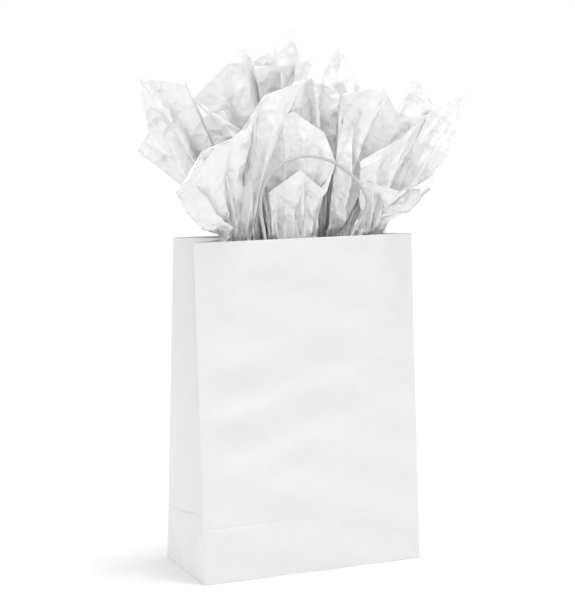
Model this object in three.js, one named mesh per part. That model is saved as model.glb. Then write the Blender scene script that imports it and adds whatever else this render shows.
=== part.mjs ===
// A white paper gift bag with twisted paper handles, standing open, with sheets of tissue paper in its mouth.
// Millimetres, +Z up, +X along the wide face, -Y towards the front. The origin is on the floor under its centre.
import * as THREE from "three";
import { mergeVertices } from "three/addons/utils/BufferGeometryUtils.js";

// Driving dimensions of the bag
const WIDTH = 220; // along X
const DEPTH = 100; // along Y at the bottom, which is twice a gusset half
const HEIGHT = 310;
const LEAN = 24; // how far the wide panels lean in at the top, each
const BASE_FOLD = DEPTH / 2; // height of the fold that lets the bottom lie flat
const PAPER = 0.5; // thickness of every paper wall
const GAP = 0.3; // between pieces that touch

// Handles, measured from the rim upwards and from the bag's centre sideways
const CORD = 3.2; // diameter
const CORD_SIDES = 8;
const HINGE_RISE = 10; // where the cord bends, above the rim
const BEND_ROOM = 4; // cord left out below the hinge, so that the loop can turn
const REAR_HANDLE_LEAN = THREE.MathUtils.degToRad(12); // pushed outwards by the tissue
const ROOT_DEPTH = 38; // how far the cord's ends reach down between the patch's plies
const LOOP_ROUTE = [
  [-40.5, 10], [-43, 24], [-42.5, 42], [-35, 57], [-19, 70], [2, 75], [24, 71],
  [44, 60], [58, 46], [65, 32], [62, 19], [55, 10],
];
const LEFT_ROOT_ROUTE = [[-38, -ROOT_DEPTH], [-38.3, -15], [-38.8, 0], [-40.3, HINGE_RISE - BEND_ROOM]];
const RIGHT_ROOT_ROUTE = [[47.5, -ROOT_DEPTH], [47.7, -15], [49, 0], [53.6, HINGE_RISE - BEND_ROOM]];

// Handle patches: two plies of paper with the cord's ends between them
const PATCH_WIDTH = 120;
const PATCH_HEIGHT = 45;
const PATCH_PLY = 0.4;
const PATCH_CENTRE = 4.5; // the patch sits a little to one side, under the middle of the loop
const PATCH_BELOW_RIM = 1;
const CORD_INSET = PAPER / 2 + GAP + PATCH_PLY + GAP + CORD / 2; // from a panel's middle to the cord's

// Bottom flaps, glued over each other
const FLAP_INSET = 2;
const TUCK_INSET = 3.2;
const FLAP_OVERLAP = 8; // how far each wide flap passes the middle
const TUCK_REACH = 42; // of the gusset's tucked end, inwards
const TUCK_TIP = 8; // half the width of its cut tip
const LAYER = PAPER + GAP;

// Where the vertical edges of the wall panels stop short of their fold
const CORNER_CLEARANCE = 1.6;
const CREASE_CLEARANCE = 0.9;
const BASE_INSET = 0.6;

// Tissue sheets: gathered inside the mouth, then spreading along eight ribs that end on the sheet's edge. A stalk is
// where a sheet is gathered, a waist is its half-widths there, and spread is how soon its ribs leave the upright.
const GATHER_Z = 245;
const WAIST_Z = 312; // just above the rim
const WALL_SHARE = 0.12; // thickness of a sheet's wall, as a share of the way to its middle
const GATHERED = 0.45; // the size of a sheet's lowest ring, as a share of its waist
const TISSUE_SHEETS = {
  tissue_left: {
    stalk: [-49, 2], waist: [15, 7], spread: 0.45,
    ribs: [[-44, 4, 405], [-76, 14, 425], [-98, 30, 412], [-140, 42, 388], [-138, 15, 405], [-152, -6, 455],
      [-108, -6, 452], [-80, -4, 403]],
  },
  tissue_front_left: {
    stalk: [-62, -14], waist: [20, 5.5], spread: 0.45,
    ribs: [[-36, -13, 440], [-62, -10, 405], [-98, -11, 390], [-130, -34, 355, 0.7], [-96, -46, 392], [-62, -40, 412],
      [-38, -21, 435], [6, -19, 455, 0.3]],
  },
  tissue_front_centre: {
    stalk: [-4, -5], waist: [26, 7], spread: 0.35,
    ribs: [[41, -4, 378], [32, 1, 405], [0, 2, 425], [-28, 1, 415], [-37, -3, 372], [-30, -11, 352],
      [0, -14, 372], [28, -13, 350]],
  },
  tissue_front_right: {
    stalk: [72, -13.5], waist: [14, 5], spread: 0.45,
    ribs: [[138, -14, 425], [104, -11, 400], [62, -10, 378], [66, -12.5, 360], [94, -44, 350], [122, -48, 350, 0.65],
      [144, -42, 385, 0.65], [166, -32, 440]],
  },
  tissue_right: {
    stalk: [49, 2], waist: [15, 7], spread: 0.45,
    ribs: [[115, 10, 415], [166, 24, 422], [146, 34, 452], [118, 32, 405], [84, 13, 400], [46, 7, 430],
      [46, -5, 440], [90, -7, 447]],
  },
  tissue_back_right: {
    stalk: [40, 14.5], waist: [18, 4.5], spread: 0.2,
    ribs: [[60, 24, 440], [88, 44, 445], [72, 54, 484], [50, 70, 445], [25, 80, 440], [4, 62, 430], [9, 42, 450],
      [28, 20, 455]],
  },
  tissue_back_left: {
    stalk: [-17, 13.5], waist: [27, 5], spread: 0.2,
    ribs: [[24, 9, 468], [9, 24, 499], [-20, 42, 470], [-24, 62, 450], [-58, 52, 440], [-88, 36, 435],
      [-44, 24, 481], [-37, 12, 466]],
  },
};

const KRAFT = new THREE.MeshStandardMaterial({ name: "kraft", color: 0xf4f4f3, roughness: 0.85, metalness: 0 });
const CORD_PAPER = new THREE.MeshStandardMaterial({ name: "cord", color: 0xeeeeec, roughness: 0.75, metalness: 0 });
const TISSUE = new THREE.MeshStandardMaterial({ name: "tissue", color: 0xfafafa, roughness: 0.6, metalness: 0 });

const bag = new THREE.Group();

function add(name, geometry, material) {
  const mesh = new THREE.Mesh(geometry, material);
  mesh.name = name;
  bag.add(mesh);
  return mesh;
}

// ---- Geometry helpers ----

// A closed geometry from a list of corner points and triangles that index them.
function geometryOf(points, triangles) {
  const geometry = new THREE.BufferGeometry();
  geometry.setAttribute("position", new THREE.Float32BufferAttribute(points.flatMap((p) => [p.x, p.y, p.z]), 3));
  geometry.setIndex(triangles.flat());
  geometry.computeVertexNormals();
  return geometry;
}

// A sheet of paper with its middle surface on a grid of points, rows[i][j]. Its front is where rows x columns points.
// flip(i, j) says which diagonal a cell folds along.
function paperSheet(rows, thickness, flip = () => false) {
  const rowCount = rows.length;
  const columnCount = rows[0].length;
  const cells = [];
  for (let i = 0; i < rowCount - 1; i++)
    for (let j = 0; j < columnCount - 1; j++) {
      const [a, b, c, d] = [[i, j], [i, j + 1], [i + 1, j + 1], [i + 1, j]];
      cells.push(...(flip(i, j) ? [[a, b, d], [b, c, d]] : [[a, b, c], [a, c, d]]));
    }
  const flat = rows.flat();
  const at = ([i, j]) => i * columnCount + j;
  const normals = flat.map(() => new THREE.Vector3());
  for (const cell of cells) {
    const [a, b, c] = cell.map((corner) => flat[at(corner)]);
    const face = new THREE.Vector3().subVectors(b, a).cross(new THREE.Vector3().subVectors(c, a));
    for (const corner of cell) normals[at(corner)].add(face);
  }
  const offset = (by) => flat.map((p, k) => p.clone().addScaledVector(normals[k].normalize(), by));
  const points = [...offset(thickness / 2), ...offset(-thickness / 2)];
  const triangles = cells.flatMap((cell) => {
    const [a, b, c] = cell.map(at);
    return [[a, b, c], [a + flat.length, c + flat.length, b + flat.length]];
  });
  const border = [
    ...range(columnCount).map((j) => [0, j]),
    ...range(rowCount - 1).map((i) => [i + 1, columnCount - 1]),
    ...range(columnCount - 1).map((j) => [rowCount - 1, columnCount - 2 - j]),
    ...range(rowCount - 2).map((i) => [rowCount - 2 - i, 0]),
  ].map(at);
  border.forEach((a, k) => {
    const b = border[(k + 1) % border.length];
    triangles.push([a, a + flat.length, b + flat.length], [a, b + flat.length, b]);
  });
  return geometryOf(points, triangles);
}

function range(count) {
  return Array.from({ length: count }, (_, i) => i);
}

// A round cord along a smooth curve through the points.
function cordAlong(points, steps) {
  const section = new THREE.Shape();
  for (const i of range(CORD_SIDES)) {
    const angle = (i / CORD_SIDES) * 2 * Math.PI;
    const [x, y] = [(Math.cos(angle) * CORD) / 2, (Math.sin(angle) * CORD) / 2];
    if (i === 0) section.moveTo(x, y);
    else section.lineTo(x, y);
  }
  section.closePath();
  const extrudePath = new THREE.CatmullRomCurve3(points, false, "centripetal");
  const tube = new THREE.ExtrudeGeometry(section, { steps, extrudePath, bevelEnabled: false });
  tube.deleteAttribute("normal");
  tube.deleteAttribute("uv");
  return mergeVertices(tube, 1e-3);
}

// A flat piece of card lying level: its outline in X and Y, and the height of its underside.
function levelSheet(outline, bottom) {
  const shape = new THREE.Shape(outline.map(([x, y]) => new THREE.Vector2(x, y)));
  return new THREE.ExtrudeGeometry(shape, { depth: PAPER, bevelEnabled: false }).translate(0, 0, bottom);
}

// ---- The bag's shape: half its depth at a height, and how far the middle of a gusset is drawn in ----

function halfDepth(z) {
  return DEPTH / 2 - (LEAN * z) / HEIGHT;
}

function gussetInset(z) {
  return Math.sqrt((DEPTH / 2) ** 2 - halfDepth(z) ** 2);
}

const leanAngle = Math.atan(LEAN / HEIGHT);

// ---- Wide panels ----

function widePanel(name, side) {
  const half = WIDTH / 2 - CREASE_CLEARANCE;
  const row = (z) => [-half, half].map((x) => new THREE.Vector3(x * -side, side * halfDepth(z), z));
  add(name, paperSheet([row(0), row(HEIGHT)], PAPER), KRAFT);
}

widePanel("front_panel", -1);
widePanel("back_panel", 1);

// ---- Gussets: a front and a rear half above the base fold, and the folded base below it ----

const UPPER_ROWS = 6;

function gussetHalf(name, side, towards) {
  const rows = range(UPPER_ROWS).map((i) => {
    const z = BASE_FOLD + GAP * 2 + ((HEIGHT - BASE_FOLD - GAP * 2) * i) / (UPPER_ROWS - 1);
    const edge = new THREE.Vector3(side * (WIDTH / 2), towards * halfDepth(z), z);
    const crease = new THREE.Vector3(side * (WIDTH / 2 - gussetInset(z)), 0, z);
    const along = crease.clone().sub(edge).normalize();
    edge.addScaledVector(along, CORNER_CLEARANCE);
    crease.addScaledVector(along, -CREASE_CLEARANCE);
    return side * towards > 0 ? [edge, crease] : [crease, edge];
  });
  add(name, paperSheet(rows, PAPER), KRAFT);
}

function gussetBase(name, side) {
  const top = BASE_FOLD - GAP * 2;
  const edge = halfDepth(top) - CORNER_CLEARANCE;
  const low = DEPTH / 2 - CORNER_CLEARANCE;
  const inset = gussetInset(top);
  const row = (z, y, middle) => [[-y, BASE_INSET], [0, middle], [y, BASE_INSET]].map(
    ([at, drawnIn]) => new THREE.Vector3(side * (WIDTH / 2 - drawnIn), at, z));
  const rows = [row(0, low, BASE_INSET), row(top, edge, inset)];
  if (side < 0) rows.forEach((r) => r.reverse());
  add(name, paperSheet(rows, PAPER, (i, j) => j === 1), KRAFT);
}

for (const [label, side] of [["left", -1], ["right", 1]]) {
  gussetHalf(`${label}_gusset_front`, side, -1);
  gussetHalf(`${label}_gusset_rear`, side, 1);
  gussetBase(`${label}_gusset_base`, side);
}

// ---- Glue lap that closes the tube, inside the back panel's right edge ----

const LAP_FROM_CORNER = 7;
const LAP_WIDTH = 16;
const LAP_ENDS = 6;

function seamLap() {
  const right = WIDTH / 2 - LAP_FROM_CORNER;
  const row = (z) => [right, right - LAP_WIDTH].map((x) => new THREE.Vector3(x, halfDepth(z) - LAYER, z));
  add("seam_lap", paperSheet([row(LAP_ENDS), row(HEIGHT - LAP_ENDS)], PAPER), KRAFT);
}

seamLap();

// ---- Bottom: two tucked gusset ends with the two wide flaps glued over them ----

function bottomFlap(name, side, bottom) {
  const [x, y] = [WIDTH / 2 - FLAP_INSET, DEPTH / 2 - FLAP_INSET];
  const tip = x - y - FLAP_OVERLAP; // the ends are cut at 45 degrees
  const far = -side * FLAP_OVERLAP;
  add(name, levelSheet([[-x, side * y], [x, side * y], [tip, far], [-tip, far]], bottom), KRAFT);
}

function bottomTuck(name, side, bottom) {
  const [x, y] = [WIDTH / 2 - TUCK_INSET, DEPTH / 2 - TUCK_INSET];
  const [outer, inner] = [side * x, side * (x - TUCK_REACH)];
  add(name, levelSheet([[outer, -y], [outer, y], [inner, TUCK_TIP], [inner, -TUCK_TIP]], bottom), KRAFT);
}

bottomFlap("bottom_flap_outer", -1, 0);
bottomFlap("bottom_flap_inner", 1, LAYER);
bottomTuck("bottom_tuck_left", -1, 2 * LAYER);
bottomTuck("bottom_tuck_right", 1, 2 * LAYER);

// ---- Handles and their patches, made for the front, and turned half round for the rear ----

function patchPly(name, turn, depthBehindPanel) {
  const half = PATCH_WIDTH / 2;
  const row = (z) => [PATCH_CENTRE - half, PATCH_CENTRE + half].map(
    (x) => new THREE.Vector3(x, -halfDepth(z) + depthBehindPanel, z));
  const top = HEIGHT - PATCH_BELOW_RIM;
  add(name, paperSheet([row(top - PATCH_HEIGHT), row(top)], PATCH_PLY).applyMatrix4(turn), KRAFT);
}

// A route's points: below the rim they follow the leaning panel, and above it they stand upright or lean out.
function handlePoint([x, rise], lean) {
  const rim = -halfDepth(HEIGHT) + CORD_INSET;
  if (rise <= 0) return new THREE.Vector3(x, rim + rise * Math.tan(leanAngle), HEIGHT + rise);
  const above = Math.max(0, rise - HINGE_RISE);
  const height = HEIGHT + Math.min(rise, HINGE_RISE) + above * Math.cos(lean);
  return new THREE.Vector3(x, rim - above * Math.sin(lean), height);
}

function handle(place, lean, turn) {
  const outerPly = PAPER / 2 + GAP + PATCH_PLY / 2;
  patchPly(`${place}_patch_outer_ply`, turn, outerPly);
  patchPly(`${place}_patch_inner_ply`, turn, CORD_INSET + CORD / 2 + GAP + PATCH_PLY / 2);
  const routes = [["loop", LOOP_ROUTE, 64], ["end_left", LEFT_ROOT_ROUTE, 12], ["end_right", RIGHT_ROOT_ROUTE, 12]];
  for (const [label, route, steps] of routes) {
    const points = route.map((p) => handlePoint(p, lean));
    add(`${place}_handle_${label}`, cordAlong(points, steps).applyMatrix4(turn), CORD_PAPER);
  }
}

handle("front", 0, new THREE.Matrix4());
handle("rear", REAR_HANDLE_LEAN, new THREE.Matrix4().makeRotationZ(Math.PI));

// ---- Tissue sheets ----

const RIB_STEPS = [0, 0.2, 0.4, 0.6, 0.8, 1];
const BETWEEN = 2; // points on each ring from one rib to the next
const HOLLOW_FROM = 2; // the ring above the waist at which the sheet opens; it is a solid gather below
const FULL_TURN = 2 * Math.PI;

// A rib rises from the waist and bends over to its end, sooner or later as its spread says.
function ribPoint(waist, end, t) {
  const ease = (share) => 2 * t * (1 - t) * share + t * t;
  const spread = end[3];
  const [x, y] = [0, 1].map((k) => waist[k] + (end[k] - waist[k]) * ease(spread));
  return new THREE.Vector3(x, y, WAIST_Z + (end[2] - WAIST_Z) * ease(1 - spread));
}

// A ring inside another one, drawn in level towards its middle.
function drawnIn(ring) {
  const middle = ring.reduce((sum, p) => sum.add(p), new THREE.Vector3()).divideScalar(ring.length);
  return ring.map((p) => p.clone().lerp(new THREE.Vector3(middle.x, middle.y, p.z), WALL_SHARE));
}

// The place of each rib on the waist, as an angle: the way its end lies from the middle of all the ends.
function ribAngles(ribs) {
  const [along, across] = [0, 1].map((k) => {
    const places = ribs.map((rib) => rib[k]);
    const [low, high] = [Math.min(...places), Math.max(...places)];
    return places.map((place) => (place - (low + high) / 2) / (high - low));
  });
  const angles = along.map((x, k) => Math.atan2(across[k], x));
  return angles.map((angle) => angles[0] + ((angle - angles[0] + FULL_TURN) % FULL_TURN));
}

function tissueSheet(name, { stalk, waist: halves, ribs, spread }) {
  const [cx, cy] = stalk;
  const count = ribs.length * BETWEEN;
  const angles = ribAngles(ribs);
  const between = (list, i) => {
    const [a, b] = [list[Math.floor(i / BETWEEN)], list[Math.floor(i / BETWEEN) + 1]];
    return a.map((value, k) => value + ((b[k] - value) * (i % BETWEEN)) / BETWEEN);
  };
  const waist = range(count).map((i) => {
    const [angle] = between([...angles, angles[0] + FULL_TURN].map((value) => [value]), i);
    return [cx + halves[0] * Math.cos(angle), cy + halves[1] * Math.sin(angle)];
  });
  const bent = ribs.map(([x, y, z, own = spread]) => [x, y, z, own]);
  const ends = range(count).map((i) => between([...bent, bent[0]], i));
  const outer = RIB_STEPS.map((t) => range(count).map((i) => ribPoint(waist[i], ends[i], t)));
  const base = waist.map(([x, y]) => new THREE.Vector3(cx + (x - cx) * GATHERED, cy + (y - cy) * GATHERED, GATHER_Z));
  const inner = outer.slice(HOLLOW_FROM).map(drawnIn).reverse();
  const rings = [base, ...outer, ...inner];
  const points = rings.flat();
  const low = points.push(new THREE.Vector3(cx, cy, GATHER_Z - 4)) - 1;
  const lastRing = rings[rings.length - 1];
  const heart = lastRing.reduce((sum, p) => sum.add(p), new THREE.Vector3()).divideScalar(count);
  const high = points.push(heart) - 1;
  const triangles = [];
  const last = (rings.length - 1) * count;
  for (const i of range(count)) {
    const next = (i + 1) % count;
    triangles.push([low, next, i], [high, last + i, last + next]);
    for (const r of range(rings.length - 1)) {
      const [a, b, c, d] = [r * count + i, r * count + next, (r + 1) * count + next, (r + 1) * count + i];
      triangles.push([a, b, c], [a, c, d]);
    }
  }
  add(name, geometryOf(points, triangles), TISSUE);
}

for (const [name, sheet] of Object.entries(TISSUE_SHEETS)) tissueSheet(name, sheet);

export default bag;
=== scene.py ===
"""A white paper gift bag with twisted paper handles and crumpled tissue paper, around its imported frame."""

import math

import bpy
import numpy as np
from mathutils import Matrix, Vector, geometry
from mathutils.bvhtree import BVHTree


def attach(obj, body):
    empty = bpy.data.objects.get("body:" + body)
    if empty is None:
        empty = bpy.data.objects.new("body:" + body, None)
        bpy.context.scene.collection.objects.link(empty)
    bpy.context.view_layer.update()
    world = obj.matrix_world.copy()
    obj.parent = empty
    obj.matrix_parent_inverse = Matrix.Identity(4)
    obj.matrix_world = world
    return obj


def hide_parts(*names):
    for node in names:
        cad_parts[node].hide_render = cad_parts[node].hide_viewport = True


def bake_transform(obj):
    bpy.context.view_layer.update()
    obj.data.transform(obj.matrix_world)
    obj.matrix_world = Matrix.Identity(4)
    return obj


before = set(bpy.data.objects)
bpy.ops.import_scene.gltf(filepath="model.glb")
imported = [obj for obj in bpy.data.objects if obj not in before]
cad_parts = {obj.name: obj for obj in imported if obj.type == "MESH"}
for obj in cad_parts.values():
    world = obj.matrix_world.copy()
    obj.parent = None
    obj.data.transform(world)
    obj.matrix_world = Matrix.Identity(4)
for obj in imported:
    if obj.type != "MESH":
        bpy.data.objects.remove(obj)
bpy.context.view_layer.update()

# The camera: where it stands round the bag, in degrees and metres, what it looks at, and its lens in mm
CAMERA_AZIMUTH = -23.846
CAMERA_ELEVATION = 8.034
CAMERA_DISTANCE = 1.5937
CAMERA_TARGET = (-0.0063, 0, 0.24925)
CAMERA_LENS = 102
CAMERA_SENSOR = 36

# The bag's driving sizes, in metres, as in the CAD
WIDTH = 0.220
DEPTH = 0.100
HEIGHT = 0.310
LEAN = 0.024
BASE_FOLD = 0.050
PAPER = 0.0003
LEAN_ANGLE = math.atan(LEAN / HEIGHT)

# The glue lap inside the back panel
LAP_SIDES = (0.087, 0.103)
LAP_ENDS = (0.006, 0.304)
LAP_BEHIND = 0.0005

# How far from a folded edge the rows of points near it lie
EDGE_STEPS = (0.0, 0.0004, 0.001, 0.002, 0.0035)

# The soft dents that run in from a wide panel's left edge: height up the panel, reach across and depth
DENTS = (
    (0.268, 0.035, 0.0009), (0.232, 0.025, -0.0005), (0.188, 0.040, 0.0008), (0.160, 0.050, -0.0009),
    (0.140, 0.040, 0.0008), (0.112, 0.060, -0.0008), (0.090, 0.050, 0.0006),
)
DENT_WIDTH = 0.011
DENT_SLANT = 0.25
DENT_GAIN = 1.2
CREASE_WIDTH = 0.0012

# The handles
CORD = 0.0032
CORD_SIDES = 20
CORD_STEP = 0.0011
TWIST_PITCH = 0.0125
HINGE_RISE = 0.010
ROOT_DEPTH = 0.038
CORD_INSET = 0.00285
CORD_PLACES = (-0.0383, 0.0478)
REAR_HANDLE_LEAN = math.radians(12)
HANDLE_ROUTE = [  # across the panel, and up from the rim
    (-0.0380, -0.038), (-0.0381, -0.027), (-0.0383, -0.015), (-0.0388, 0.0), (-0.0405, 0.010),
    (-0.0430, 0.024), (-0.0425, 0.042), (-0.0350, 0.057), (-0.0190, 0.070), (0.0020, 0.075),
    (0.0240, 0.071), (0.0440, 0.060), (0.0580, 0.046), (0.0650, 0.032), (0.0620, 0.019),
    (0.0550, 0.010), (0.0490, 0.0), (0.0477, -0.015), (0.0476, -0.027), (0.0475, -0.038),
]

# The handle patches
PATCH_WIDTH = 0.120
PATCH_HEIGHT = 0.045
PATCH_CENTRE = 0.0045
PATCH_BELOW_RIM = 0.001
PLY = 0.00025
OUTER_PLY_BEHIND = 0.0006
INNER_PLY_BEHIND = 0.0011
OVER_CORD = 0.0036

# The tissue sheets, in millimetres and as in the CAD: the middle and half sizes of the waist where a sheet
# leaves the bag, and ribs up to the open edge. Spread is how early a rib bends outwards, and a rib's fourth
# number is its own. Crumple is how deeply a sheet is crumpled.
TISSUE = {
    "tissue_left": dict(
        stalk=(-49, 2), waist=(15, 7), spread=0.45, crumple=0.7,
        ribs=[(-44, 4, 405), (-76, 14, 425), (-98, 30, 412), (-140, 42, 388), (-138, 15, 405),
              (-152, -6, 455), (-108, -6, 452), (-80, -4, 403)]),
    "tissue_front_left": dict(
        stalk=(-62, -14), waist=(20, 5.5), spread=0.45, crumple=1.0,
        ribs=[(-36, -13, 440), (-62, -10, 405), (-98, -11, 390), (-130, -34, 355, 0.7), (-96, -46, 392),
              (-62, -40, 412), (-38, -21, 435), (6, -19, 455, 0.3)]),
    "tissue_front_centre": dict(
        stalk=(-4, -5), waist=(26, 7), spread=0.35, crumple=0.6,
        ribs=[(41, -4, 378), (32, 1, 405), (0, 2, 425), (-28, 1, 415), (-37, -3, 372), (-30, -11, 352),
              (0, -14, 372), (28, -13, 350)]),
    "tissue_front_right": dict(
        stalk=(72, -13.5), waist=(14, 5), spread=0.45, crumple=1.15,
        ribs=[(138, -14, 425), (104, -11, 400), (62, -10, 378), (66, -12.5, 360), (94, -44, 350),
              (122, -48, 350, 0.65), (144, -42, 385, 0.65), (166, -32, 440)]),
    "tissue_right": dict(
        stalk=(49, 2), waist=(15, 7), spread=0.45, crumple=0.7,
        ribs=[(115, 10, 415), (166, 24, 422), (146, 34, 452), (118, 32, 405), (84, 13, 400),
              (46, 7, 430), (46, -5, 440), (90, -7, 447)]),
    "tissue_back_right": dict(
        stalk=(40, 14.5), waist=(18, 4.5), spread=0.2, crumple=0.6,
        ribs=[(60, 24, 440), (88, 44, 445), (72, 54, 484), (50, 70, 445), (25, 80, 440), (4, 62, 430),
              (9, 42, 450), (28, 20, 455)]),
    "tissue_back_left": dict(
        stalk=(-17, 13.5), waist=(27, 5), spread=0.2, crumple=0.75,
        ribs=[(24, 9, 468), (9, 24, 499), (-20, 42, 470), (-24, 62, 450), (-58, 52, 440),
              (-88, 36, 435), (-44, 24, 481), (-37, 12, 466)]),
}
TISSUE_PAPER = 0.00018
GATHER_Z = 0.245
WAIST_Z = 0.312
GATHERED = 0.45  # the gather's size as a share of the waist's
AROUND = 256
UP = 72
DOWN = 16
FINE_PLEATS = 22
DEEPEST_PLEAT = 0.008
DEEPEST_FOLD = 0.02
SEAM = 0.05  # the share of the way round over which the crumples at the two ends run into each other

# Three sizes of crumple: spacing, height and the share of the height that is left at the open edge
CRUMPLES = ((0.034, 0.0055, 0.9), (0.017, 0.0036, 0.6), (0.0085, 0.0016, 0.4))
RNG_SEED = 20

# Each paper's darkest and lightest tone
KRAFT_TONES = ((0.762, 0.762, 0.762), (0.782, 0.782, 0.780))
CORD_TONES = ((0.50, 0.50, 0.497), (0.58, 0.58, 0.576))
TISSUE_TONES = ((0.93, 0.93, 0.932), (0.965, 0.965, 0.966))
TISSUE_SHEEN = 0.14
TISSUE_LETS_THROUGH = 0.12

# The floor, half its size and just under the bag
FLOOR_REACH = 12
FLOOR_Z = -0.0001

# How bright the studio is overhead and round the sides
SKY = 1.12
SKY_SIDES = 0.88

# The suns: which way each one shines, its strength, and how wide it is in degrees
SUNS = {
    "key": ((-0.17, 0.08, -1.0), 1.0, 12),
    "fill": ((1.0, 0.15, -0.35), 0.2, 50),
}


# ---- Camera, first of all ----

def make_camera():
    azimuth = math.radians(CAMERA_AZIMUTH)
    elevation = math.radians(CAMERA_ELEVATION)
    back = Vector((
        math.sin(azimuth) * math.cos(elevation),
        -math.cos(azimuth) * math.cos(elevation),
        math.sin(elevation),
    ))
    data = bpy.data.cameras.new("camera")
    data.lens = CAMERA_LENS
    data.sensor_width = CAMERA_SENSOR
    data.clip_end = 50
    camera = bpy.data.objects.new("camera", data)
    camera.location = Vector(CAMERA_TARGET) + back * CAMERA_DISTANCE
    camera.rotation_mode = "QUATERNION"
    camera.rotation_quaternion = (-back).to_track_quat("-Z", "Y")
    bpy.context.scene.collection.objects.link(camera)
    bpy.context.scene.camera = camera


# ---- Meshes ----

def mesh_object(name, points, faces, material, smooth=True):
    mesh = bpy.data.meshes.new(name)
    mesh.from_pydata([tuple(p) for p in points], [], [tuple(f) for f in faces])
    mesh.polygons.foreach_set("use_smooth", [smooth] * len(mesh.polygons))
    mesh.materials.append(material)
    mesh.update()
    piece = bpy.data.objects.new(name, mesh)
    bpy.context.scene.collection.objects.link(piece)
    return piece


def grid_faces(rows, columns, closed=False):
    """Quads over a grid of points stored row by row; closed joins the last column to the first."""
    spans = columns if closed else columns - 1
    i, j = np.meshgrid(np.arange(rows - 1), np.arange(spans), indexing="ij")
    low = i.ravel() * columns
    high = low + columns
    here = j.ravel()
    after = (here + 1) % columns
    return np.stack([low + here, low + after, high + after, high + here], axis=1)


def thicken(piece, thickness):
    """Gives a sheet its thickness as real geometry, with closed edges."""
    solid = piece.modifiers.new("thickness", "SOLIDIFY")
    solid.thickness = thickness
    solid.offset = 0
    solid.use_even_offset = False
    bpy.context.view_layer.update()
    evaluated = piece.evaluated_get(bpy.context.evaluated_depsgraph_get())
    mesh = bpy.data.meshes.new_from_object(evaluated)
    piece.modifiers.clear()
    old = piece.data
    piece.data = mesh
    bpy.data.meshes.remove(old)
    mesh.name = piece.name


def finely(low, high, step):
    """Places from low to high, a step apart, and closer together near both ends, where the paper folds."""
    length = high - low
    inset = EDGE_STEPS[-1]
    middle = np.linspace(inset + step, length - inset - step, max(2, int(length / step)))
    return low + np.concatenate([EDGE_STEPS, middle, [length - e for e in reversed(EDGE_STEPS)]])


# ---- The bag's shape ----

def half_depth(z):
    return DEPTH / 2 - LEAN * z / HEIGHT


def gusset_inset(y, z):
    """How far a gusset is drawn in from the bag's side, at a place y from its middle and a height."""
    half = half_depth(z)
    full = np.sqrt(np.maximum((DEPTH / 2) ** 2 - half**2, 0))
    upper = full * (1 - np.abs(y) / half)
    half_at_fold = half_depth(BASE_FOLD)
    at_fold = math.sqrt((DEPTH / 2) ** 2 - half_at_fold**2)
    lower = at_fold * np.maximum(z / BASE_FOLD - np.abs(y) / half_at_fold, 0)
    return np.where(z < BASE_FOLD, lower, upper)


def bump(value, centre, width):
    return np.exp(-(((value - centre) / width) ** 2))


def fold_line(distance, height, width):
    """A pressed crease: a narrow ridge or groove along where the distance is nought."""
    return height * np.exp(-np.abs(distance) / width)


def add_dents(out, across, z):
    """Adds the soft dents from the left edge, the wide hollow in the middle and the paper's gentle waves."""
    from_edge = across + WIDTH / 2
    for height, reach, depth in DENTS:
        share = from_edge / reach
        dent = bump(z - DENT_SLANT * from_edge, height, DENT_WIDTH)
        out += depth * dent * share * np.exp(1 - share) * DENT_GAIN
    out -= 0.0022 * bump(across, 0.01, 0.07) * bump(z, 0.14, 0.09)
    out += 0.0012 * bump(across, -0.03, 0.03) * bump(z, 0.075, 0.02)
    out += 0.0007 * np.sin(across * 61 + z * 47) * np.sin(z * 71 - across * 23 + 1.3)


def add_base_creases(out, across, z, hold):
    """Adds the base fold across the panel, and the slanting folds from the bottom corners up to it."""
    strength = 0.35 + 0.65 * bump(across, -WIDTH / 2, 0.05)
    out += fold_line(z - BASE_FOLD, -0.00045, CREASE_WIDTH) * strength * hold
    for end in (-1, 1):
        along = WIDTH / 2 - end * across
        depth = 0.00035 if end < 0 else 0.00015
        reach = np.clip((BASE_FOLD + 0.004 - z) / 0.01, 0, 1)
        out += fold_line((along - z) / math.sqrt(2), -depth, CREASE_WIDTH) * reach


def add_patch_marks(out, across, z):
    """Adds the marks that the handle's ends and the patch's lower edge leave in the panel over them."""
    up_root = z - (HEIGHT - ROOT_DEPTH)
    for place in CORD_PLACES:
        out += 0.00028 * bump(across, place, 0.0018) * np.clip(up_root / 0.004, 0, 1)
    patch_foot = HEIGHT - PATCH_BELOW_RIM - PATCH_HEIGHT
    inside = (np.abs(across - PATCH_CENTRE) < PATCH_WIDTH / 2).astype(float)
    out += 0.00012 * inside / (1 + np.exp(-(z - patch_foot) / 0.0006))


def panel_relief(x, z, side):
    """How far a wide panel stands out from flat, outwards, in metres."""
    edge = WIDTH / 2 - np.abs(x)
    hold = 1 - np.exp(-edge / 0.006)  # the edge folds hold the paper flat
    across = x * -side  # for the front, positive to the right
    out = np.zeros_like(x)
    add_dents(out, across, z)
    out *= hold
    add_base_creases(out, across, z, hold)
    add_patch_marks(out, across, z)
    return out


def panel_point(x, z, side, depth=0.0):
    """A point on the front (side -1) or back (side 1) panel, at a depth behind its middle surface."""
    x, z = np.broadcast_arrays(np.asarray(x, float), np.asarray(z, float))
    out = panel_relief(x, z, side) - depth
    y = side * (half_depth(z) + out * math.cos(LEAN_ANGLE))
    return np.stack([x, y, z + out * math.sin(LEAN_ANGLE)], axis=-1)


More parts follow.
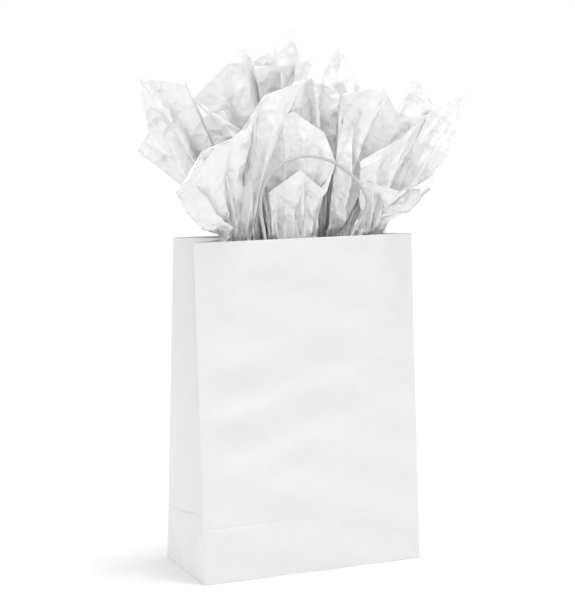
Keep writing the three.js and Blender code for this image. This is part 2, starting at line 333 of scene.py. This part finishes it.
def gusset_relief(y, z, side):
    """How far a gusset stands out from its flat facets, outwards."""
    half = half_depth(z)
    edge = half - np.abs(y)
    hold = 1 - np.exp(-edge / 0.004)
    out = 0.0016 * bump(z, BASE_FOLD + 0.0035, 0.0035)  # the lip that bulges over the base fold
    out = out - 0.0010 * bump(z, BASE_FOLD - 0.004, 0.004)
    out = out + 0.0012 * np.sin(z * 52 + side) * bump(np.abs(y), half * 0.5, 0.012) * (z > BASE_FOLD)
    out = out - 0.0008 * bump(z, 0.175, 0.02) + 0.0008 * bump(z, 0.125, 0.02)
    return out * hold


def gusset_point(y, z, side):
    x = side * (WIDTH / 2 - gusset_inset(y, z) + gusset_relief(y, z, side))
    return np.stack([x, y, z], axis=-1)


def shell_rows():
    """The heights of the shell's rows of points, closer together at the foot and at the base fold."""
    low = np.array([0, 0.0004, 0.001, 0.002])
    below = np.arange(0.004, BASE_FOLD - 0.004, 0.002)
    at_fold = BASE_FOLD + np.array([
        -0.004, -0.003, -0.002, -0.0012, -0.0006, 0, 0.0006, 0.0012, 0.002, 0.003, 0.0042,
    ])
    above = np.arange(BASE_FOLD + 0.0065, HEIGHT - 0.001, 0.0028)
    return np.concatenate([low, below, at_fold, above, [HEIGHT]])


def bag_shell(material):
    """The bag's walls as one folded sheet: front, right gusset, back, left gusset, and round to the front."""
    z = shell_rows()[:, None]
    across = finely(-WIDTH / 2, WIDTH / 2, 0.0028)[None, :-1]
    share = finely(0, DEPTH / 2, 0.0024)[None, :] / (DEPTH / 2)
    y = half_depth(z) * (-1 + np.concatenate([share, 2 - share[:, ::-1]], axis=1)[:, :-1])
    keep = np.ones(y.shape[1], bool)
    keep[share.shape[1]] = False  # the middle crease comes once
    y = y[:, keep]
    front = panel_point(across, z + 0 * across, -1)
    right = gusset_point(y, z + 0 * y, 1)
    back = panel_point(-across, z + 0 * across, 1)
    left = gusset_point(-y, z + 0 * y, -1)
    points = np.concatenate([front, right, back, left], axis=1)
    rows, columns = points.shape[:2]
    faces = grid_faces(rows, columns, closed=True)
    shell = mesh_object("bag_shell", points.reshape(-1, 3), faces, material)
    thicken(shell, PAPER)
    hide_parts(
        "front_panel", "back_panel", "left_gusset_front", "left_gusset_rear", "left_gusset_base",
        "right_gusset_front", "right_gusset_rear", "right_gusset_base",
    )
    return shell


def seam_lap(material):
    x = finely(*LAP_SIDES, 0.002)[None, :]
    z = np.linspace(*LAP_ENDS, 90)[:, None]
    points = panel_point(x + 0 * z, z + 0 * x, 1, depth=LAP_BEHIND)
    faces = grid_faces(*points.shape[:2])[:, ::-1]
    lap = mesh_object("glue_lap", points.reshape(-1, 3), faces, material)
    thicken(lap, PAPER)
    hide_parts("seam_lap")
    return lap


# ---- Handles and patches ----

def mix(t, start, end, a, b):
    return (end - t) / (end - start) * a + (t - start) / (end - start) * b


def smooth_line(points, step):
    """A centripetal Catmull-Rom line through the points, sampled at even distances."""
    p = np.asarray(points, float)
    p = np.vstack([2 * p[0] - p[1], p, 2 * p[-1] - p[-2]])
    samples = []
    for k in range(1, len(p) - 2):
        knots = [0.0]
        for a, b in zip(p[k - 1:k + 2], p[k:k + 3]):
            knots.append(knots[-1] + max(np.linalg.norm(b - a), 1e-9) ** 0.5)
        t = np.linspace(knots[1], knots[2], 24, endpoint=False)[:, None]
        a1 = mix(t, knots[0], knots[1], p[k - 1], p[k])
        a2 = mix(t, knots[1], knots[2], p[k], p[k + 1])
        a3 = mix(t, knots[2], knots[3], p[k + 1], p[k + 2])
        b1 = mix(t, knots[0], knots[2], a1, a2)
        b2 = mix(t, knots[1], knots[3], a2, a3)
        samples.append(mix(t, knots[1], knots[2], b1, b2))
    line = np.vstack(samples + [p[-2:-1]])
    run = np.concatenate([[0], np.cumsum(np.linalg.norm(np.diff(line, axis=0), axis=1))])
    places = np.linspace(0, run[-1], int(run[-1] / step) + 1)
    return np.stack([np.interp(places, run, line[:, k]) for k in range(3)], axis=1), run[-1]


def handle_line(side):
    """The cord's middle line: inside the leaning panel up to the rim, then upright or leaning outwards."""
    lean = REAR_HANDLE_LEAN if side > 0 else 0
    at_rim = half_depth(HEIGHT) - CORD_INSET
    points = []
    for x, rise in HANDLE_ROUTE:
        if rise <= 0:
            y = at_rim - rise * math.tan(LEAN_ANGLE)
            z = HEIGHT + rise
        else:
            above = max(0, rise - HINGE_RISE)
            y = at_rim + above * math.sin(lean)
            z = HEIGHT + min(rise, HINGE_RISE) + above * math.cos(lean)
        points.append((-side * x, side * y, z))
    return smooth_line(points, CORD_STEP)


def cord_radius(run, angle):
    """The radius along and round a cord: its seam winds round as a faint groove beside a raised edge."""
    turn = (angle[None, :] / (2 * math.pi) - run[:, None] / TWIST_PITCH) % 1.0
    radius = CORD / 2 * (1 + 0.035 * (turn - 0.5) - 0.09 * np.exp(-((turn - 0.03) / 0.035) ** 2))
    return radius * (1 + 0.02 * np.sin(run * 410 + 1.0)[:, None] * np.sin(run * 170)[:, None])


def cord_rings(line, length):
    """The rings of points round a cord's middle line."""
    tangent = np.gradient(line, axis=0)
    tangent /= np.linalg.norm(tangent, axis=1)[:, None]
    first = np.cross(tangent, np.array([0.0, 1.0, 0.0]))
    first /= np.linalg.norm(first, axis=1)[:, None]
    second = np.cross(tangent, first)
    run = np.arange(len(line)) * (length / (len(line) - 1))
    angle = np.linspace(0, 2 * math.pi, CORD_SIDES, endpoint=False)
    cosine = np.cos(angle)[None, :, None]
    sine = np.sin(angle)[None, :, None]
    ring = cosine * first[:, None, :] + sine * second[:, None, :]
    return line[:, None, :] + cord_radius(run, angle)[:, :, None] * ring


def twisted_cord(name, side, material):
    """A cord rolled from a strip of paper, from one end inside the patch to the other."""
    line, length = handle_line(side)
    points = cord_rings(line, length)
    count = len(line)
    faces = [tuple(f) for f in grid_faces(count, CORD_SIDES, closed=True)]
    faces.append(tuple(reversed(range(CORD_SIDES))))
    faces.append(tuple((count - 1) * CORD_SIDES + k for k in range(CORD_SIDES)))
    cord = mesh_object(name, points.reshape(-1, 3), faces, material)
    end = "front" if side < 0 else "rear"
    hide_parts(f"{end}_handle_loop", f"{end}_handle_end_left", f"{end}_handle_end_right")
    return cord


def patch_ply(name, side, base, over_cord, material, node):
    """One ply of a handle patch, which bulges over the cord's ends."""
    half = PATCH_WIDTH / 2
    x = finely(PATCH_CENTRE - half, PATCH_CENTRE + half, 0.0012)[None, :]
    top = HEIGHT - PATCH_BELOW_RIM
    z = np.linspace(top - PATCH_HEIGHT, top, 34)[:, None]
    x, z = np.broadcast_arrays(x, z)
    depth = np.full(x.shape, base)
    reach = np.clip((z - (HEIGHT - ROOT_DEPTH) + 0.004) / 0.005, 0, 1)
    for place in CORD_PLACES:
        depth = depth + over_cord * np.exp(-((x - place) / 0.0034) ** 4) * reach
    points = panel_point(-side * x, z, side, depth=depth)
    faces = grid_faces(*points.shape[:2])
    ply = mesh_object(name, points.reshape(-1, 3), faces, material)
    thicken(ply, PLY)
    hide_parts(node)
    return ply


# ---- Tissue ----

def facets(points, spacing, height, random):
    """Heights of a crumpled surface over flat points: flat facets that meet in sharp folds."""
    low = points.min(0) - 2 * spacing
    high = points.max(0) + 2 * spacing
    counts = np.ceil((high - low) / spacing).astype(int) + 1
    i, j = np.meshgrid(np.arange(counts[0]), np.arange(counts[1]), indexing="ij")
    seeds = np.stack([i.ravel(), j.ravel()], axis=1) * spacing + low
    seeds = seeds + random.uniform(-0.42, 0.42, seeds.shape) * spacing
    made = geometry.delaunay_2d_cdt([Vector(p) for p in seeds], [], [], 0, 1e-6)
    corners = np.array([tuple(p) for p in made[0]])
    peaks = random.uniform(-1, 1, len(corners)) * height
    tree = BVHTree.FromPolygons([(x, y, h) for (x, y), h in zip(corners, peaks)], made[2])
    down = Vector((0, 0, -1))
    hits = [tree.ray_cast(Vector((x, y, 1.0)), down)[0] for x, y in points]
    return np.array([0.0 if hit is None else hit.z for hit in hits])


def rib_angles(ribs):
    """The place of each rib on the waist: the way its end lies from the middle of all the ends."""
    low, high = ribs[:, :2].min(0), ribs[:, :2].max(0)
    place = (ribs[:, :2] - (low + high) / 2) / (high - low)
    angles = np.arctan2(place[:, 1], place[:, 0])
    return angles[0] + (angles - angles[0]) % (2 * math.pi)


def between_ribs(values, turn):
    k = turn.astype(int)
    share = turn - k
    after = values[(k + 1) % len(values)]
    return values[k] * (1 - share)[:, None] + after * share[:, None]


def smooth_sheet(stalk, waist, ribs, spread):
    """The sheet's rings without pleats, from the gather up to the open edge, and how far up each one is."""
    turn = np.arange(AROUND) / AROUND * len(ribs)
    angles = np.append(rib_angles(ribs), 0)
    angles[-1] = angles[0] + 2 * math.pi
    angle = np.interp(turn, np.arange(len(ribs) + 1), angles)
    ends = between_ribs(ribs, turn)
    spread = between_ribs(spread[:, None], turn)[:, 0]
    foot = stalk + waist * np.stack([np.cos(angle), np.sin(angle)], axis=1)
    t = np.linspace(0, 1, UP + 1)[:, None]
    bend = 2 * t * (1 - t)
    sideways = bend * spread + t * t
    upwards = bend * (1 - spread) + t * t
    upper = np.stack([
        foot[:, 0] + (ends[:, 0] - foot[:, 0]) * sideways,
        foot[:, 1] + (ends[:, 1] - foot[:, 1]) * sideways,
        WAIST_Z + (ends[:, 2] - WAIST_Z) * upwards,
    ], axis=-1)
    s = np.linspace(0, 1, DOWN, endpoint=False)[:, None]
    size = GATHERED + (1 - GATHERED) * s
    lower = np.stack([
        stalk[0] + (foot[:, 0] - stalk[0]) * size,
        stalk[1] + (foot[:, 1] - stalk[1]) * size,
        np.broadcast_to(GATHER_Z + (WAIST_Z - GATHER_Z) * s, (DOWN, AROUND)),
    ], axis=-1)
    rise = np.concatenate([s - 1, t])
    return np.concatenate([lower, upper]), rise, turn


def length_along(points, axis):
    return np.linalg.norm(np.diff(points, axis=axis), axis=2)


def pleats(rise, turn, smooth_width, width, thinnest, random):
    """How far each point is folded inwards, so that every ring holds nearly the sheet's whole width."""
    spare = np.sqrt(np.maximum(width**2 - smooth_width**2, 0))[:, None]
    # fine pleats at the gather, which open out above the waist
    phase = np.cumsum(random.uniform(0.5, 1.5, len(turn)))
    phase = phase / phase[-1] * FINE_PLEATS
    fine = np.abs((phase % 1.0) * 2 - 1)[None, :]
    depth = np.minimum(spare / (2 * FINE_PLEATS), thinnest[:, None]) * np.clip(1 - rise / 0.45, 0, 1)
    # wide folds, with a narrow valley between each rib and the next
    count = int(turn.max()) + 1
    k = turn.astype(int)
    valley = random.uniform(0.35, 0.65, count)[k]
    share = turn - k
    towards = np.where(share < valley, share / valley, (1 - share) / (1 - valley))
    sharpness = random.uniform(1.2, 2.4, count)[k]
    strength = random.uniform(0.45, 1.0, count)[k]
    wide = (towards**sharpness * strength)[None, :]
    opening = np.clip(rise / 0.2 + 0.3, 0, 1) * np.clip((1.15 - rise) / 0.5, 0, 1)
    wide_depth = np.minimum(spare / (2 * count), DEEPEST_FOLD) * opening
    return fine * depth + wide * wide_depth


def crumples(points, rise, smooth_width, amount, random):
    """Crumples over the sheet, laid out flat as a fan so that they come out as wide as they are tall."""
    run = np.concatenate([[0], np.cumsum(length_along(points, 0).mean(axis=1))])
    slant = run[-1] - run[DOWN]
    fan = (smooth_width[-1] - smooth_width[DOWN]) / slant
    radius = np.maximum(smooth_width[DOWN] / fan + run - run[DOWN], 0.012)[:, None]
    share = np.arange(AROUND) / AROUND
    own = np.clip(share / SEAM, 0, 1)[None, :]
    total = 0
    for spacing, height, lasting in CRUMPLES:
        layers = []
        for start in (0, 1):
            angle = (share[None, :] + start) * fan
            laid = np.stack([radius * np.cos(angle), radius * np.sin(angle)], axis=-1)
            layers.append(laid.reshape(-1, 2))
        both = facets(np.vstack(layers), spacing, height, random).reshape(2, *points.shape[:2])
        kept = 1 - (1 - lasting) * np.clip(rise, 0, 1)
        total = total + (both[0] * own + both[1] * (1 - own)) * kept
    return total * amount * np.clip(0.5 + rise * 2.5, 0.3, 1.0)


def tissue_sheet(name, material, stalk, waist, spread, ribs, crumple):
    random = np.random.default_rng(RNG_SEED + sum(ord(c) for c in name))
    stalk = np.array(stalk, float) / 1000
    waist = np.array(waist, float) / 1000
    ends = np.array([rib[:3] for rib in ribs], float) / 1000
    spreads = np.array([rib[3] if len(rib) > 3 else spread for rib in ribs])
    points, rise, turn = smooth_sheet(stalk, waist, ends, spreads)
    around = np.roll(points, -1, axis=1) - np.roll(points, 1, axis=1)
    normal = np.cross(around, np.gradient(points, axis=0))
    normal /= np.maximum(np.linalg.norm(normal, axis=2), 1e-9)[:, :, None]

    ring = np.concatenate([points, points[:, :1]], axis=1)
    smooth_width = length_along(ring, 1).sum(axis=1)
    width = smooth_width[-1]
    thinnest = 1.6 * waist[1] * np.clip(1 + rise[:, 0] * (1 - GATHERED), 0, 1)
    inwards = pleats(rise, turn, smooth_width, width, np.minimum(thinnest, DEEPEST_PLEAT), random)
    folds = crumples(points, rise, smooth_width, crumple, random)
    points = points - normal * (inwards + folds + 0.0025 * crumple * np.clip(rise * 3, 0, 1))[:, :, None]

    faces = [tuple(f) for f in grid_faces(len(points), AROUND, closed=True)]
    all_points = np.vstack([points.reshape(-1, 3), [[*stalk, GATHER_Z - 0.003]]])
    faces += [(len(points) * AROUND, (j + 1) % AROUND, j) for j in range(AROUND)]
    sheet = mesh_object(name + "_sheet", all_points, faces, material)
    thicken(sheet, TISSUE_PAPER)
    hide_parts(name)
    return sheet


# ---- Materials ----

def new_material(name, color, roughness):
    material = bpy.data.materials.new(name)
    material.use_nodes = True
    tree = material.node_tree
    shader = tree.nodes["Principled BSDF"]
    shader.inputs["Base Color"].default_value = (*color, 1)
    shader.inputs["Roughness"].default_value = roughness
    return material, tree, shader


def noise(tree, scale, detail, stretch=(1, 1, 1)):
    """A noise texture over the object's own coordinates, in metres."""
    place = tree.nodes.new("ShaderNodeTexCoord")
    mapping = tree.nodes.new("ShaderNodeMapping")
    mapping.inputs["Scale"].default_value = stretch
    texture = tree.nodes.new("ShaderNodeTexNoise")
    texture.inputs["Scale"].default_value = scale
    texture.inputs["Detail"].default_value = detail
    tree.links.new(place.outputs["Object"], mapping.inputs["Vector"])
    tree.links.new(mapping.outputs["Vector"], texture.inputs["Vector"])
    return texture


def creases(tree, scale, warp):
    """Crumples as a height: cells that meet in sharp folds, moved some way off regular."""
    place = tree.nodes.new("ShaderNodeTexCoord")
    shift = tree.nodes.new("ShaderNodeTexNoise")
    shift.inputs["Scale"].default_value = scale * 0.5
    spread = tree.nodes.new("ShaderNodeVectorMath")
    spread.operation = "SCALE"
    spread.inputs["Scale"].default_value = warp
    moved = tree.nodes.new("ShaderNodeVectorMath")
    cells = tree.nodes.new("ShaderNodeTexVoronoi")
    cells.inputs["Scale"].default_value = scale
    tree.links.new(place.outputs["Object"], shift.inputs["Vector"])
    tree.links.new(shift.outputs["Color"], spread.inputs[0])
    tree.links.new(place.outputs["Object"], moved.inputs[0])
    tree.links.new(spread.outputs["Vector"], moved.inputs[1])
    tree.links.new(moved.outputs["Vector"], cells.inputs["Vector"])
    return cells


def colour_over(tree, texture, tones):
    """A colour that follows the texture from the first tone to the second."""
    ramp = tree.nodes.new("ShaderNodeValToRGB")
    for element, position, tone in zip(ramp.color_ramp.elements, (0.3, 0.7), tones):
        element.position = position
        element.color = (*tone, 1)
    tree.links.new(texture.outputs["Fac"], ramp.inputs["Fac"])
    return ramp


def bump_from(tree, texture, distance, strength, before=None):
    node = tree.nodes.new("ShaderNodeBump")
    node.inputs["Distance"].default_value = distance
    node.inputs["Strength"].default_value = strength
    height = "Distance" if "Distance" in texture.outputs else "Fac"
    tree.links.new(texture.outputs[height], node.inputs["Height"])
    if before:
        tree.links.new(before.outputs["Normal"], node.inputs["Normal"])
    return node


def kraft_material():
    material, tree, shader = new_material("white_kraft", (0.86, 0.86, 0.86), 0.8)
    shader.inputs["Specular IOR Level"].default_value = 0.25
    mottle = colour_over(tree, noise(tree, 90, 5), KRAFT_TONES)
    tree.links.new(mottle.outputs["Color"], shader.inputs["Base Color"])
    fibre = bump_from(tree, noise(tree, 900, 3, stretch=(1, 1, 0.25)), 0.00006, 0.35)
    soft = bump_from(tree, noise(tree, 60, 2), 0.0004, 0.25, before=fibre)
    tree.links.new(soft.outputs["Normal"], shader.inputs["Normal"])
    return material


def cord_material():
    material, tree, shader = new_material("twisted_paper", (0.8, 0.8, 0.79), 0.6)
    fibre = colour_over(tree, noise(tree, 700, 4, stretch=(1, 1, 0.3)), CORD_TONES)
    tree.links.new(fibre.outputs["Color"], shader.inputs["Base Color"])
    grain = bump_from(tree, noise(tree, 1500, 3), 0.00008, 0.4)
    tree.links.new(grain.outputs["Normal"], shader.inputs["Normal"])
    return material


def tissue_material():
    material, tree, shader = new_material("tissue_paper", (0.88, 0.88, 0.885), 0.3)
    shader.inputs["Metallic"].default_value = TISSUE_SHEEN
    fibre = colour_over(tree, noise(tree, 160, 6), TISSUE_TONES)
    tree.links.new(fibre.outputs["Color"], shader.inputs["Base Color"])
    fine = bump_from(tree, noise(tree, 260, 3, stretch=(1, 1, 0.7)), 0.0006, 0.4)
    small = bump_from(tree, creases(tree, 120, 0.01), 0.0022, 0.7, before=fine)
    wrinkle = bump_from(tree, creases(tree, 48, 0.02), 0.006, 0.8, before=small)
    tree.links.new(wrinkle.outputs["Normal"], shader.inputs["Normal"])
    through = tree.nodes.new("ShaderNodeBsdfTranslucent")
    through.inputs["Color"].default_value = (0.97, 0.97, 0.97, 1)
    tree.links.new(wrinkle.outputs["Normal"], through.inputs["Normal"])
    mixed = tree.nodes.new("ShaderNodeMixShader")
    mixed.inputs["Fac"].default_value = TISSUE_LETS_THROUGH
    tree.links.new(shader.outputs["BSDF"], mixed.inputs[1])
    tree.links.new(through.outputs["BSDF"], mixed.inputs[2])
    tree.links.new(mixed.outputs["Shader"], tree.nodes["Material Output"].inputs["Surface"])
    return material


# ---- Room ----

def make_floor():
    material, _, shader = new_material("floor", (0.8, 0.8, 0.8), 0.9)
    shader.inputs["Specular IOR Level"].default_value = 0
    corners = [
        (x * FLOOR_REACH, y * FLOOR_REACH, FLOOR_Z) for x, y in ((-1, -1), (1, -1), (1, 1), (-1, 1))
    ]
    floor = mesh_object("floor", corners, [(0, 1, 2, 3)], material, smooth=False)


def sun(name, towards, strength, angle):
    data = bpy.data.lights.new(name, "SUN")
    data.energy = strength
    data.angle = math.radians(angle)
    light = bpy.data.objects.new(name, data)
    light.rotation_mode = "QUATERNION"
    light.rotation_quaternion = Vector(towards).to_track_quat("-Z", "Y")
    bpy.context.scene.collection.objects.link(light)


def make_world():
    """A white studio: brighter overhead than round the sides, and plain white behind the bag."""
    world = bpy.data.worlds.new("studio")
    world.use_nodes = True
    tree = world.node_tree
    light = tree.nodes["Background"]
    light.inputs["Strength"].default_value = SKY
    place = tree.nodes.new("ShaderNodeTexCoord")
    split = tree.nodes.new("ShaderNodeSeparateXYZ")
    ramp = tree.nodes.new("ShaderNodeValToRGB")
    ramp.color_ramp.elements[0].color = (*[SKY_SIDES / SKY] * 3, 1)
    ramp.color_ramp.elements[1].position = 0.8
    tree.links.new(place.outputs["Generated"], split.inputs["Vector"])
    tree.links.new(split.outputs["Z"], ramp.inputs["Fac"])
    tree.links.new(ramp.outputs["Color"], light.inputs["Color"])
    seen = tree.nodes.new("ShaderNodeBackground")
    seen.inputs["Color"].default_value = (1, 1, 1, 1)
    path = tree.nodes.new("ShaderNodeLightPath")
    mixed = tree.nodes.new("ShaderNodeMixShader")
    tree.links.new(path.outputs["Is Camera Ray"], mixed.inputs["Fac"])
    tree.links.new(light.outputs["Background"], mixed.inputs[1])
    tree.links.new(seen.outputs["Background"], mixed.inputs[2])
    tree.links.new(mixed.outputs["Shader"], tree.nodes["World Output"].inputs["Surface"])
    bpy.context.scene.world = world


def make_light():
    make_world()
    bpy.context.scene.view_settings.view_transform = "Standard"
    for name, facts in SUNS.items():
        sun(name, *facts)


# ---- The scene ----

make_camera()
kraft = kraft_material()
cord_paper = cord_material()
tissue = tissue_material()

for side, end in ((-1, "front"), (1, "rear")):
    cord = twisted_cord(f"{end}_cord", side, cord_paper)
    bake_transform(cord)
    outer = patch_ply(
        f"{end}_patch_outside", side, OUTER_PLY_BEHIND, 0.0, kraft, f"{end}_patch_outer_ply")
    inner = patch_ply(
        f"{end}_patch_inside", side, INNER_PLY_BEHIND, OVER_CORD, kraft, f"{end}_patch_inner_ply")
    for ply in (outer, inner):
        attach(ply, "bag")

for piece in (bag_shell(kraft), seam_lap(kraft)):
    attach(piece, "bag")

# the flaps of the bottom keep the shapes that they have in the frame
for node in ("bottom_flap_outer", "bottom_flap_inner", "bottom_tuck_left", "bottom_tuck_right"):
    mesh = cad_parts[node].data
    mesh.materials.clear()
    mesh.materials.append(kraft)

for name, facts in TISSUE.items():
    sheet = tissue_sheet(name, tissue, **facts)
    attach(sheet, name)

make_floor()
make_light()
